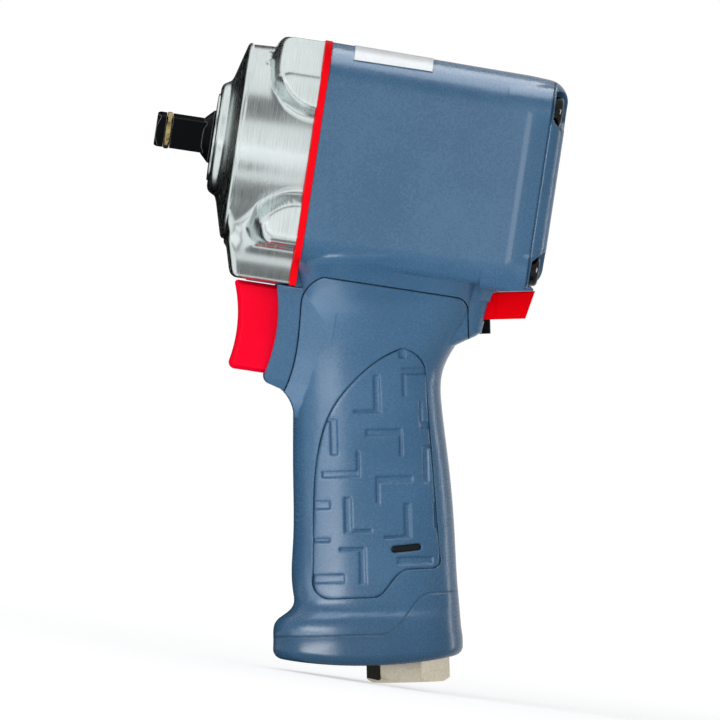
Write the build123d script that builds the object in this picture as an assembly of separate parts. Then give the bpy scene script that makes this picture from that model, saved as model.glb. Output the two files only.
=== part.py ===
from build123d import *
from math import copysign, cos, pi, radians, sin
import os

# Compact air impact wrench. The spindle axis is X: drive face at x = 0, +X to the rear, +Z up,
# handle downwards. All sizes in millimetres.

# Clearances
slip = 0.05
run_gap = 0.4
seam = 0.3

# Square drive and anvil
drive_square = 9.525
drive_corner = 1.0
drive_length = 14.4
ring_groove_x = 2.8
ring_groove_width = 1.9
ring_groove_radius = 3.7
ring_radius = 5.6
anvil_neck_x = 17.0
journal_radius = 8.0
collar_radius = 9.6
jaw_radius = 11.6
jaw_width = 7.0
pilot_radius = 4.8

# Hammer case
nose_x = 17.9
case_radius = 30.0
case_rear_x = 46.6
case_bore = 25.8
lug_half = 33.0
lug_top = 33.2
lug_bottom = -29.6
lug_chamfer = 11.0
lug_front_x = 33.5
ear_tip = 12.1
ear_slope = 0.57
ears = [(24.8, 1, 15.0), (-28.8, -1, 16.2)]
chin_half = 19.0
chin_bottom = -40.2
bushing_outer = 10.5
bushing_start_x = 20.6
bushing_end_x = 29.0
seal_radius = 13.2

# Gaskets
gasket_thickness = 2.0
gasket_proud = 0.3
rear_gasket_thickness = 0.4

# Motor housing
housing_front_x = case_rear_x + gasket_thickness
cover_seam_x = 116.6
overall_length = 121.6
barrel_top_corner = 12.0
barrel_bottom_corner = 7.0
rear_edge_radius = 6.8
barrel_rows = [
    (housing_front_x, 33.0, 33.4, -33.0),
    (109.6, 32.8, 32.4, -32.0),
    (111.2, 32.65, 32.3, -31.9),
    (112.8, 32.3, 32.2, -31.8),
    (overall_length, 30.1, 31.6, -31.0),
]
motor_bore = 27.0
front_bore = 25.8
shoulder_x = 58.9

# Corner screws
screw_y = 25.2
screw_z_top = 22.6
screw_z_low = -25.8
screw_radius = 2.5
screw_tip_x = 35.5
screw_head_radius = 4.6
screw_head_height = 2.6
pocket_radius = 6.3
pocket_floor = 0.6
boss_start_x = 103.0
boss_start_radius = 7.4
boss_radius = 7.8

# Handle: rows across the raked handle axis are
# (distance down, front, rear, half width, roundness power)
rake = 10.0
handle_x = 74.5
handle_z = -50.0
handle_rows = [
    (-24.0, -24.0, 31.0, 32.0, 4.4),
    (-18.0, -23.8, 31.0, 29.0, 4.3),
    (-14.8, -23.7, 31.0, 25.2, 4.2),
    (-12.0, -23.6, 31.0, 22.6, 4.1),
    (-8.0, -23.6, 30.6, 20.0, 3.8),
    (-3.0, -23.8, 29.5, 18.6, 3.5),
    (5.0, -24.3, 24.8, 17.7, 3.0),
    (13.0, -24.8, 20.4, 17.2, 2.8),
    (24.0, -25.2, 19.7, 17.0, 2.7),
    (44.0, -25.7, 21.6, 16.7, 2.7),
    (64.0, -26.2, 22.7, 16.9, 2.7),
    (79.0, -26.6, 23.2, 17.4, 2.7),
    (83.5, -26.8, 23.5, 17.7, 2.7),
    (85.3, -28.4, 23.6, 18.2, 2.7),
    (87.0, -30.9, 23.7, 19.2, 2.7),
    (88.8, -32.4, 23.8, 19.9, 2.7),
    (91.5, -32.9, 24.0, 20.2, 2.7),
    (97.0, -33.1, 24.3, 20.4, 2.7),
    (101.8, -32.9, 24.2, 20.2, 2.7),
]
base_bottom = 101.8
base_edge = 3.0
base_floor = 4.4
sole_radius = 153.0
sole_d = -3.8
grip_wall = 2.6
core_end = 90.0
pad_depth = 1.8
mark_depth = 0.7
key_length = 9.0
key_width = 2.0

# Air inlet, throttle and exhaust, along the handle axis
inlet_d = 7.7
passage_radius = 7.6
stem_chamber_radius = 7.2
inlet_shank_radius = 9.0
inlet_shank_start = 80.0
inlet_hex = 22.2
inlet_end = 107.3
hex_start = 99.9
hex_face = 10.9
hex_bevel = 1.6
pipe_radius = 5.6
pipe_depth = 15.0
seat_start = 21.5
seat_thickness = 2.5
seat_bore = 4.4
valve_radius = 6.2
valve_thickness = 2.4
rocker_radius = 0.9
rocker_length = 3.0
stem_radius = 1.6
stem_top = 4.5
spring_end = 45.0
exhaust_front = -19.5
exhaust_rear = -2.8
exhaust_half = 8.0
exhaust_start = 12.0

# Trigger
trigger_half = 8.5
trigger_travel = 5.0
trigger_z = -55.0
trigger_top = -41.6
tongue_low = trigger_top + 0.3
tongue_top = chin_bottom - 0.3
tongue_half = 8.0
rod_radius = 2.5
rod_end_x = 80.8
pocket_rear_x = 53.0

# Reverse lever, turning about an axis parallel to the handle
pivot_d = 33.4
lever_hub = 8.6
lever_top = -9.9
lever_low = -1.8
lever_tail = 49.0
lever_tail_half = 6.2
lever_gap = 0.25
cheek_inner = 9.4
cheek_top_d = 35.6
cheek_low_d = 33.2
cheek_corner = 2.2
roof_half = 12.6
valve_spool_radius = 4.6
valve_spool_top = -15.5

# Motor
plate_thickness = 6.0
plate_start_x = shoulder_x + 0.1
cylinder_start_x = plate_start_x + plate_thickness
cylinder_length = 28.0
cylinder_bore = 21.5
cylinder_offset = 1.8
rotor_radius = 19.0
shaft_radius = 6.0
vane_count = 6
vane_thickness = 2.0
vane_tip = 19.4
bearing_outer = 12.0
ball_radius = 1.5
ball_count = 9

# Twin hammer mechanism
frame_radius = 25.3
frame_front_x = 31.6
frame_front_plate = 3.0
frame_rear_x = 53.6
frame_rear_plate = 4.8
web_inner = 23.3
hammer_radius = 20.4
hammer_thickness = 9.0
hammer_pin_circle = 19.2
hammer_pin_radius = 2.8
drive_hex = 9.4

os.makedirs("parts", exist_ok=True)
rake_sin = sin(radians(rake))
rake_cos = cos(radians(rake))


def across(x):
    return Plane(origin=(x, 0, 0), x_dir=(0, 1, 0), z_dir=(1, 0, 0))


def down(t):
    origin = (handle_x + t * rake_sin, 0, handle_z - t * rake_cos)
    return Plane(origin=origin, x_dir=(rake_cos, 0, rake_sin), z_dir=(rake_sin, 0, -rake_cos))


def on_handle(d, t):
    return (handle_x + d * rake_cos + t * rake_sin, handle_z + d * rake_sin - t * rake_cos)


def bar(x0, x1, radius, y=0.0, z=0.0):
    return extrude(across(x0) * Pos(y, z) * Circle(radius), amount=x1 - x0)


def ring(x0, x1, outer, inner):
    return bar(x0, x1, outer) - bar(x0, x1, inner)


def shaft_down(t0, t1, radius, d):
    return extrude(down(t0) * Pos(d, 0) * Circle(radius), amount=t1 - t0)


def sleeve_down(t0, t1, outer, inner, d):
    return shaft_down(t0, t1, outer, d) - shaft_down(t0, t1, inner, d)


def block(x0, x1, y0, y1, z0, z1):
    return Pos((x0 + x1) / 2, (y0 + y1) / 2, (z0 + z1) / 2) * Box(x1 - x0, y1 - y0, z1 - z0)


def turned(points):
    return revolve(Plane.XZ * make_face(Polyline(*points, close=True)), axis=Axis.X)


def side_prism(lines, half):
    return extrude(Plane.XZ * make_face(lines), amount=half, both=True)


def rounded_square(half, top, bottom, top_corner, bottom_corner):
    sketch = make_face(Polyline((-half, bottom), (half, bottom), (half, top), (-half, top), close=True))
    sketch = fillet(sketch.vertices().group_by(Axis.Y)[-1], top_corner)
    return fillet(sketch.vertices().group_by(Axis.Y)[0], bottom_corner)


def barrel_form(grow=0.0):
    sections = []
    for x, half, top, bottom in barrel_rows:
        outline = rounded_square(half + grow, top + grow, bottom - grow,
                                 barrel_top_corner + grow, barrel_bottom_corner + grow)
        sections.append(across(x) * outline)
    return loft(sections, ruled=True)


def handle_section(front, rear, half, power):
    middle = (front + rear) / 2
    reach = (rear - front) / 2
    points = []
    for step in range(20):
        angle = 2 * pi * step / 20
        along = copysign(abs(cos(angle)) ** (2 / power), cos(angle))
        side = copysign(abs(sin(angle)) ** (2 / power), sin(angle))
        points.append((middle + reach * along, half * side))
    return make_face(Spline(*points, periodic=True))


def handle_form(inset=0.0, last=base_bottom):
    sections = []
    for t, front, rear, half, power in handle_rows:
        sections.append(down(t) * handle_section(front + inset, rear - inset, half - inset, power))
    form = loft(sections)
    if last < base_bottom:
        form = form - extrude(down(last) * Rectangle(200, 120), amount=60)
    return form


def save(shape, name):
    export_step(shape, "parts/" + name + ".step")


screw_places = [(y, z) for y in (screw_y, -screw_y) for z in (screw_z_top, screw_z_low)]

# Outer form: barrel, handle, trigger block and rear ledge as one master shape
barrel = barrel_form()
barrel = fillet(barrel.edges().group_by(Axis.X)[-1], rear_edge_radius)

sole = down(base_bottom - sole_radius) * Pos(sole_d, 0) * Rot(90, 0, 0) * Cylinder(sole_radius, 100)
handle = handle_form() & sole
handle = fillet(handle.edges().group_by(Axis.Z)[0], base_edge)
handle = handle - block(30, housing_front_x, -60, 60, -41.2, 10)

block_lines = Curve() + [
    Line((62, -41.3), (43.0, -41.3)),
    ThreePointArc((43.0, -41.3), (45.1, -56.0), (43.5, -68.2)),
    ThreePointArc((43.5, -68.2), (43.9, -70.3), (45.6, -71.4)),
    Line((45.6, -71.4), (49.2, -72.4)),
    ThreePointArc((49.2, -72.4), (52.3, -75.2), (54.5, -80.5)),
    Line((54.5, -80.5), (62, -80.5)),
    Line((62, -80.5), (62, -41.3)),
]
block_heights = (-30, -42, -52, -62, -70, -76, -82)
block_front = (17.0, 13.8, 11.8, 10.2, 8.8, 7.0, 4.0)
block_middle = (18.7, 17.2, 15.3, 13.3, 11.4, 9.0, 5.4)
block_rear = (19.6, 19.4, 17.4, 15.8, 15.0, 14.6, 14.1)
block_sections = []
for x, halves in ((40, block_front), (54, block_middle), (62, block_rear)):
    right_side = list(zip(halves, block_heights))
    left_side = [(-half, z) for half, z in reversed(right_side)]
    block_sections.append(across(x) * make_face(Polyline(*right_side, *left_side, close=True)))
trigger_block = side_prism(block_lines, 25) & loft(block_sections, ruled=True)

chin_rest = extrude(across(housing_front_x) * make_face(
    Polyline((-19, -28), (19, -28), (18.3, -36), (15.5, -42), (-15.5, -42), (-18.3, -36), close=True)), amount=10)

# rows of the rear ledge round the lever: (distance down, rear, half width)
ledge_rows = [(-24.0, 36.2, 14.6), (-9.9, 35.9, 13.6), (-1.8, 33.4, 12.8), (2.0, 32.4, 12.4), (3.2, 30.4, 12.2),
              (4.4, 27.4, 12.0), (6.2, 23.4, 11.6)]
rear_ledge = loft([down(t) * handle_section(2.0, rear, half, 5.0) for t, rear, half in ledge_rows], ruled=True)
roof_lines = Polyline((96, -28), (116, -28), (120, -31.2), (120, -37), (96, -37), close=True)
lever_roof = side_prism(roof_lines, roof_half)

outer = barrel + handle + rear_ledge + (trigger_block + chin_rest)
outer = outer + block(34.0, housing_front_x + 1, -tongue_half, tongue_half, tongue_low, tongue_top)
outer = outer + (lever_roof & block(90, cover_seam_x, -40, 40, -60, 0))
for y, z in screw_places:
    outer += loft([across(boss_start_x) * Pos(y, z) * Circle(boss_start_radius),
                   across(cover_seam_x) * Pos(y, z) * Circle(boss_radius)])

# Side outlines of the grip sleeve, base cap and pads, each drawn in by a gap


def grip_outline(gap):
    lines = Curve() + [
        Line((56.5, -37.0 - gap), (97.5, -37.0 - gap)),
        ThreePointArc((97.5, -37.0 - gap), (100.3 - 0.7 * gap, -38.3 - 0.7 * gap), (101.6 - gap, -41.2)),
        Line((101.6 - gap, -41.2), (103.0 - gap, -48.9)),
        Line((103.0 - gap, -48.9), (118, -56)),
        Line((118, -56), on_handle(34, 79.7)),
        Line(on_handle(34, 79.7), on_handle(15, 80.2)),
        Spline(on_handle(15, 80.2), on_handle(9.8, 83.2), on_handle(5.6, 88.6), on_handle(-1.0, 92.4),
               tangents=[(-rake_cos, -rake_sin), (-rake_cos, -rake_sin)]),
        Line(on_handle(-1.0, 92.4), on_handle(-40, 92.4)),
        Line(on_handle(-40, 92.4), (46.8 + gap, -79)),
        Line((46.8 + gap, -79), (50.0 + gap, -72.7)),
        Spline((50.0 + gap, -72.7), (51.7 + gap, -62), (51.5 + gap, -53), (51.0 + gap, -46.5)),
        ThreePointArc((51.0 + gap, -46.5), (52.4 + 0.7 * gap, -40.4 - 0.7 * gap), (56.5, -37.0 - gap)),
    ]
    return make_face(lines)


def pad_point(d, t, gap):
    return on_handle(-1.5 + (d + 1.5) * (1 - gap / 19.5), 44.0 + (t - 44.0) * (1 - gap / 37.6))


def pad_outline(gap):
    left = (-rake_cos, -rake_sin)
    lines = Curve() + [
        Line(pad_point(14.8, 12.5, gap), pad_point(17.9, 69.5, gap)),
        ThreePointArc(pad_point(17.9, 69.5, gap), pad_point(17.3, 72.2, gap), pad_point(15.5, 73.0, gap)),
        Line(pad_point(15.5, 73.0, gap), pad_point(8.5, 73.1, gap)),
        Spline(pad_point(8.5, 73.1, gap), pad_point(4.2, 75.3, gap), pad_point(1.2, 79.0, gap),
               pad_point(-2.6, 81.4, gap), tangents=[left, left]),
        Line(pad_point(-2.6, 81.4, gap), pad_point(-15.5, 81.5, gap)),
        ThreePointArc(pad_point(-15.5, 81.5, gap), pad_point(-19.4, 80.0, gap), pad_point(-21.0, 76.0, gap)),
        Spline(pad_point(-21.0, 76.0, gap), pad_point(-20.2, 57.0, gap), pad_point(-18.4, 37.0, gap),
               pad_point(-13.9, 24.0, gap), pad_point(-7.4, 15.9, gap), pad_point(0.9, 9.2, gap),
               pad_point(7.3, 6.2, gap)),
        ThreePointArc(pad_point(7.3, 6.2, gap), pad_point(11.6, 7.8, gap), pad_point(14.8, 12.5, gap)),
    ]
    return make_face(lines)


base_lines = Curve() + [
    Line(on_handle(34, 79.7 + seam), on_handle(15, 80.2 + seam)),
    Spline(on_handle(15, 80.2 + seam), on_handle(9.8, 83.2 + seam), on_handle(5.6, 88.6 + seam),
           on_handle(-1.0, 92.4 + seam), tangents=[(-rake_cos, -rake_sin), (-rake_cos, -rake_sin)]),
    Line(on_handle(-1.0, 92.4 + seam), on_handle(-40, 92.4 + seam)),
    Line(on_handle(-40, 92.4 + seam), on_handle(-40, 110)),
    Line(on_handle(-40, 110), on_handle(34, 110)),
    Line(on_handle(34, 110), on_handle(34, 79.7 + seam)),
]
grip_prism = extrude(Plane.XZ * grip_outline(0.0), amount=40, both=True)
sleeve_prism = extrude(Plane.XZ * grip_outline(seam), amount=40, both=True)
base_prism = side_prism(base_lines, 40)
pad_hole_prism = extrude(Plane.XZ * pad_outline(0.0), amount=40, both=True)
pad_prism = extrude(Plane.XZ * pad_outline(seam), amount=40, both=True)

core = handle_form(grip_wall, core_end)
cavity = handle_form(grip_wall, base_bottom - base_floor)
pad_bed = handle_form(pad_depth)
mark_bed = handle_form(mark_depth)

# Shapes shared by the housing, grip and base: bores, pockets and passages
key_place = down(66.6) * Pos(7.6, 0) * Rot(0, 4.6, 0) * Rot(90, 0, 0)
key_slot = key_place * extrude(SlotOverall(key_length, key_width), amount=30, both=True)
key_body = key_place * extrude(SlotOverall(key_length - 2 * slip, key_width - 2 * slip), amount=30, both=True)
trigger_pocket = block(38, pocket_rear_x, -trigger_half - run_gap, trigger_half + run_gap, -68.9, tongue_low)
bushing_seat = bar(pocket_rear_x - 1, 54.3, 6.5 + slip, 0, trigger_z) + bar(54.2, 61.0, 4.5 + slip, 0, trigger_z)
rod_bore = bar(60, 78, rod_radius + run_gap, 0, trigger_z)
stem_chamber = shaft_down(-6, seat_start + 0.1, stem_chamber_radius, inlet_d)
air_riser = shaft_down(-24, -5, 4.0, inlet_d)
air_passage = shaft_down(seat_start, inlet_shank_start + 0.1, passage_radius + slip, inlet_d)
shank_bore = shaft_down(inlet_shank_start, 110, inlet_shank_radius + slip, inlet_d)
exhaust_sketch = Rectangle(exhaust_rear - exhaust_front, 2 * exhaust_half)
exhaust_sketch = Pos((exhaust_front + exhaust_rear) / 2, 0) * fillet(exhaust_sketch.vertices(), 5.0)
exhaust = extrude(down(exhaust_start) * exhaust_sketch, amount=core_end - exhaust_start + 1)

# Motor housing: barrel shell with the trigger block and the handle core
housing = outer - (grip_prism + base_prism)
housing = housing + core + sleeve_down(core_end - 1, base_bottom - base_floor, 11.5, inlet_shank_radius, inlet_d)
housing = housing - block(cover_seam_x, 130, -40, 40, -40, 40)
housing = housing - bar(housing_front_x - 1, shoulder_x + 1, front_bore) - bar(shoulder_x, 130, motor_bore)
for y, z in screw_places:
    housing -= bar(housing_front_x - 1, 130, screw_radius + 0.2, y, z)
housing = housing - trigger_pocket - bushing_seat - rod_bore - stem_chamber - air_riser - air_passage
housing = housing - shank_bore - exhaust
housing = housing - (key_slot - handle_form(6.0))
lever_recess = shaft_down(lever_top - lever_gap, lever_low + run_gap, lever_hub + run_gap, pivot_d)
lever_recess += extrude(down(lever_top - lever_gap) * Pos(pivot_d + 30, 0) * Rectangle(60, 2 * cheek_inner), amount=60)
cheek_lines = make_face(Polyline(on_handle(cheek_top_d, lever_top - lever_gap), on_handle(90, lever_top - lever_gap),
                                 on_handle(90, 60), on_handle(cheek_low_d - 8, 60),
                                 on_handle(cheek_low_d, lever_low + run_gap), close=True))
cheek_lines = fillet(cheek_lines.vertices().sort_by_distance((*on_handle(cheek_top_d, lever_top), 0))[0], cheek_corner)
lever_recess += extrude(Plane.XZ * cheek_lines, amount=30, both=True)
sleeve_bore = shaft_down(valve_spool_top - 0.4, lever_top, 6.0 + slip, pivot_d)
pin_notch = shaft_down(lever_low, 10, 1.8 + slip, pivot_d)
housing = housing - lever_recess - sleeve_bore - pin_notch
save(housing, "motor_housing")

# Grip sleeve, pads, base cap and the parts inside the handle
grip = (outer & sleeve_prism) - cavity
grip = grip - (pad_hole_prism - pad_bed)
grip = grip - trigger_pocket - bushing_seat - key_slot - lever_recess
save(grip, "grip_sleeve")

# Pad marks: outer corner (d, t), tip of the arm across, tip of the arm along, and both arm widths
corner_marks = [
    (7.6, 12.2, 20.0, 20.7, 2.0, 0.8), (0.7, 25.5, -7.3, 14.2, 0.9, 1.8), (12.6, 30.7, 20.0, 22.3, 2.1, 0.8),
    (-12.4, 27.0, -20.0, 37.9, 0.9, 2.1), (7.1, 30.5, -3.7, 38.8, 2.0, 0.8), (-6.0, 44.7, -17.2, 37.0, 1.9, 0.8),
    (13.2, 35.8, 20.0, 47.0, 0.9, 1.8), (-1.1, 44.8, 10.0, 53.0, 1.9, 0.8), (-10.8, 61.6, -2.7, 50.8, 0.9, 2.1),
    (9.1, 63.6, 1.0, 53.1, 0.8, 1.9), (-4.8, 66.1, -12.5, 77.2, 0.9, 1.9), (16.3, 61.0, 22.0, 53.0, 2.0, 0.9),
]
bar_marks = [(6.8, 5.0, 8.6, 9.1), (-24.0, 51.7, -15.1, 54.2), (-24.0, 63.0, -15.4, 64.2),
             (4.9, 69.3, 15.6, 71.5), (-24.0, 74.0, -11.3, 76.6)]
tip_taper = 0.8
root_taper = 1.2
mark_corner = 0.28


def corner_mark(d, t, d_tip, t_tip, over, along):
    over = copysign(over, t_tip - t)
    along = copysign(along, d_tip - d)
    return make_face(Polyline(on_handle(d, t), on_handle(d_tip, t), on_handle(d_tip, t + over * tip_taper),
                              on_handle(d + along * root_taper, t + over * root_taper),
                              on_handle(d + along * tip_taper, t_tip), on_handle(d, t_tip), close=True))


mark_faces = Sketch()
for d, t, d_tip, t_tip, over, along in corner_marks:
    shape = corner_mark(d, t, d_tip, t_tip, over, along)
    mark_faces += fillet(shape.vertices(), mark_corner)
for d0, t0, d1, t1 in bar_marks:
    shape = make_face(Polyline(on_handle(d0, t0), on_handle(d1, t0), on_handle(d1, t1), on_handle(d0, t1), close=True))
    mark_faces += fillet(shape.vertices(), mark_corner)
mark_prism = extrude(Plane.XZ * mark_faces, amount=40, both=True)
pads = (outer & pad_prism) - pad_bed - key_slot
pads = pads - (mark_prism - mark_bed)
save(pads & block(0, 150, -40, 0, -160, 0), "grip_pad_left")
save(pads & block(0, 150, 0, 40, -160, 0), "grip_pad_right")

lock_keys = (key_body & mark_bed) - handle_form(5.9)
save(lock_keys, "lock_keys")

base = (outer & base_prism) - cavity - shank_bore
slot_sketch = Sketch()
for step in range(5):
    slot_sketch += Pos(-27.0 + 4.4 * step, 0) * Rectangle(2.2, 18.0)
base = base - extrude(down(base_bottom - base_floor - 1) * slot_sketch, amount=10)
base = base - shaft_down(hex_start, 110, inlet_hex / cos(pi / 6) / 2 + seam, inlet_d)
save(base, "base_cap")

muffler_sketch = Rectangle(exhaust_rear - exhaust_front - 2 * slip, 2 * exhaust_half - 2 * slip)
muffler_sketch = Pos((exhaust_front + exhaust_rear) / 2, 0) * fillet(muffler_sketch.vertices(), 5.0)
muffler_hole = Pos((exhaust_front + exhaust_rear) / 2, 0) * Circle(3.5)
muffler = extrude(down(40.0) * (muffler_sketch - muffler_hole), amount=core_end - 41.0)
save(muffler, "muffler")

# Air inlet and throttle
hex_sketch = RegularPolygon(inlet_hex / 2, 6, major_radius=False, rotation=12.5)
hexagon = extrude(down(hex_start) * Pos(inlet_d, 0) * hex_sketch, amount=inlet_end - hex_start)
hexagon = hexagon & loft([down(inlet_end - 8) * Pos(inlet_d, 0) * Circle(hex_face + 8 * hex_bevel),
                          down(inlet_end) * Pos(inlet_d, 0) * Circle(hex_face)])
bushing = shaft_down(inlet_shank_start, hex_start + 1, inlet_shank_radius, inlet_d) + hexagon
bushing = bushing - shaft_down(inlet_end - pipe_depth, inlet_end + 1, pipe_radius, inlet_d)
bushing = bushing - shaft_down(inlet_shank_start - 1, inlet_end - pipe_depth + 1, 4.6, inlet_d)
mouth = loft([down(inlet_end - 1.4) * Pos(inlet_d, 0) * Circle(pipe_radius),
              down(inlet_end + 0.01) * Pos(inlet_d, 0) * Circle(pipe_radius + 1.3)])
bushing = bushing - mouth
bushing = bushing - sleeve_down(82.9, 84.9, inlet_shank_radius + 1, inlet_shank_radius - 1.4, inlet_d)
save(bushing, "inlet_bushing")
save(sleeve_down(83.0, 84.8, inlet_shank_radius, inlet_shank_radius - 1.4, inlet_d), "inlet_seal")

screen = sleeve_down(70.0, inlet_shank_start, 6.2, 5.6, inlet_d) + shaft_down(69.4, 70.0, 6.2, inlet_d)
screen = screen + sleeve_down(inlet_shank_start - 0.8, inlet_shank_start, passage_radius - slip, 5.6, inlet_d)
for step in range(4):
    slit = Pos(inlet_d, 0) * Rot(0, 0, 45 * step) * Rectangle(20, 1.4)
    screen -= extrude(down(71.5) * slit, amount=6.5)
save(screen, "inlet_screen")

seat = sleeve_down(seat_start, seat_start + seat_thickness, passage_radius, seat_bore, inlet_d)
save(seat, "throttle_seat")
valve_top = seat_start + seat_thickness + slip
valve = shaft_down(valve_top, valve_top + valve_thickness, valve_radius, inlet_d)
valve = valve + shaft_down(stem_top, valve_top + 0.5, stem_radius, inlet_d)
valve = valve + shaft_down(valve_top + valve_thickness - 0.1, valve_top + valve_thickness + 2.0, 2.2, inlet_d)
rocker = Pos(inlet_d - valve_radius, 0) * Rot(90, 0, 0) * Cylinder(rocker_radius, rocker_length)
valve = valve + down(valve_top + valve_thickness / 2) * rocker
save(valve, "throttle_valve")
spring_start = valve_top + valve_thickness + 0.5
coil = Helix(pitch=3.6, height=spring_end - spring_start - 0.8, radius=4.4)
wire = sweep(Plane(coil @ 0, z_dir=coil % 0) * Circle(0.45), path=coil, is_frenet=True)
save(down(spring_start + 0.4) * Pos(inlet_d, 0) * wire, "throttle_spring")
retainer = shaft_down(spring_end, spring_end + 2.0, passage_radius, inlet_d)
for step in range(6):
    hole = Pos(inlet_d, 0) * Rot(0, 0, 60 * step) * Pos(4.6, 0) * Circle(1.7)
    retainer -= extrude(down(spring_end - 1) * hole, amount=5)
save(retainer, "spring_retainer")

# Trigger
trigger_lines = Curve() + [
    Line((46.5, trigger_top), (32.0, trigger_top)),
    ThreePointArc((32.0, trigger_top), (30.9, trigger_top - 0.4), (30.9, -43.0)),
    ThreePointArc((30.9, -43.0), (33.4, -56.0), (32.5, -66.0)),
    ThreePointArc((32.5, -66.0), (33.0, -67.8), (34.8, -68.4)),
    Line((34.8, -68.4), (46.5, -68.4)),
    Line((46.5, -68.4), (46.5, trigger_top)),
]
trigger_bevel = 1.5
trigger_face = make_face(trigger_lines)
trigger = extrude(Plane.XZ * trigger_face, amount=trigger_half - trigger_bevel, both=True)
for side in (1, -1):
    rim = Plane(origin=(0, side * (trigger_half - trigger_bevel), 0), x_dir=(1, 0, 0), z_dir=(0, -1, 0))
    trigger += extrude(rim * trigger_face, amount=-side * trigger_bevel, taper=35)
trigger = trigger - bar(37, 50, rod_radius + 0.02, 0, trigger_z)
pin_hole = Pos(41.5, 0, trigger_z) * Rot(90, 0, 0) * Cylinder(1.0 + 0.02, 12.0)
save(trigger - pin_hole, "trigger")
rod = bar(37.2, rod_end_x - rod_radius, rod_radius, 0, trigger_z)
rod = rod + Pos(rod_end_x - rod_radius, 0, trigger_z) * Sphere(rod_radius)
save(rod - pin_hole, "trigger_rod")
save(Pos(41.5, 0, trigger_z) * Rot(90, 0, 0) * Cylinder(1.0, 11.8), "trigger_pin")
guide = bar(pocket_rear_x, 54.2, 6.5, 0, trigger_z) + bar(54.0, 61.0, 4.5, 0, trigger_z)
save(guide - bar(50, 65, rod_radius + slip, 0, trigger_z), "trigger_bushing")

# Reverse lever, its valve and pivot
lever_plan = Pos(pivot_d, 0) * Circle(lever_hub)
lever_plan += make_face(Polyline((pivot_d, -lever_hub + 0.4), (lever_tail, -lever_tail_half),
                                 (lever_tail, lever_tail_half), (pivot_d, lever_hub - 0.4), close=True))
lever = extrude(down(lever_top) * lever_plan, amount=lever_low - lever_top)
lever = lever - side_prism(Polyline(on_handle(lever_tail + 0.1, lever_top - 1), on_handle(45.2, lever_low + 1),
                                    on_handle(60, lever_low + 1), on_handle(60, lever_top - 1), close=True), 20)
lever = lever - shaft_down(lever_low - 4.5, lever_low + 1, 1.8 + 0.02, pivot_d)
lever = lever - shaft_down(lever_top - 1, lever_top + 3.0, 3.0 + 0.02, pivot_d)
save(lever, "reverse_lever")
spool = shaft_down(valve_spool_top, lever_top - lever_gap - 0.1, valve_spool_radius, pivot_d)
spool = spool + shaft_down(lever_top - lever_gap - 0.2, lever_top + 3.0, 3.0, pivot_d)
spool = spool - extrude(down(valve_spool_top - 1) * Pos(pivot_d + 3.4, 0) * Rectangle(3, 20), amount=4)
save(spool, "reverse_valve")
save(sleeve_down(valve_spool_top, lever_top - lever_gap, 6.0, valve_spool_radius + slip, pivot_d), "reverse_sleeve")
save(shaft_down(lever_low - 4.5, 2.5, 1.8, pivot_d), "reverse_pivot")

# Rear cover, rear gasket and the long corner screws
cover_x = cover_seam_x + rear_gasket_thickness
cover = (barrel + lever_roof) & block(cover_x, 130, -40, 40, -40, 40)
cover = cover - lever_recess
cover = cover - bar(cover_x - 1, cover_x + 1.6, 22.5)
cover = cover + ring(cylinder_start_x + cylinder_length + plate_thickness, cover_x + 0.5, motor_bore - 0.2, 22.5)
for y, z in screw_places:
    cover -= bar(cover_x - 1, 130, screw_radius + 0.2, y, z)
    cover -= bar(cover_x + pocket_floor, 130, pocket_radius, y, z)
save(cover, "rear_cover")
rear_gasket = barrel & block(cover_seam_x, cover_x, -40, 40, -40, 40)
rear_gasket = rear_gasket & extrude(across(cover_seam_x) * rounded_square(31.1, 31.7, -31.2, 11.7, 6.8), amount=1)
rear_gasket = rear_gasket + (lever_roof & block(cover_seam_x, cover_x, -12.3, 12.3, -36.8, -30)) - lever_recess
rear_gasket = rear_gasket - bar(110, 120, motor_bore)
screws = Part()
for y, z in screw_places:
    rear_gasket -= bar(110, 120, screw_radius + 0.3, y, z)
    head_x = cover_x + pocket_floor
    head = fillet(bar(head_x, head_x + screw_head_height, screw_head_radius, y, z).edges().group_by(Axis.X)[-1], 1.2)
    socket = extrude(across(head_x + 1.0) * Pos(y, z) * RegularPolygon(1.5, 6, major_radius=False), amount=9)
    screws += bar(screw_tip_x, head_x + 0.5, screw_radius - slip, y, z) + (head - socket)
save(rear_gasket, "rear_gasket")
save(screws, "case_screws")

label = (barrel_form(0.25) - barrel_form()) & block(55.5, 79.5, -40, 40, 28.9, 40)
save(label, "label_plate")

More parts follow.
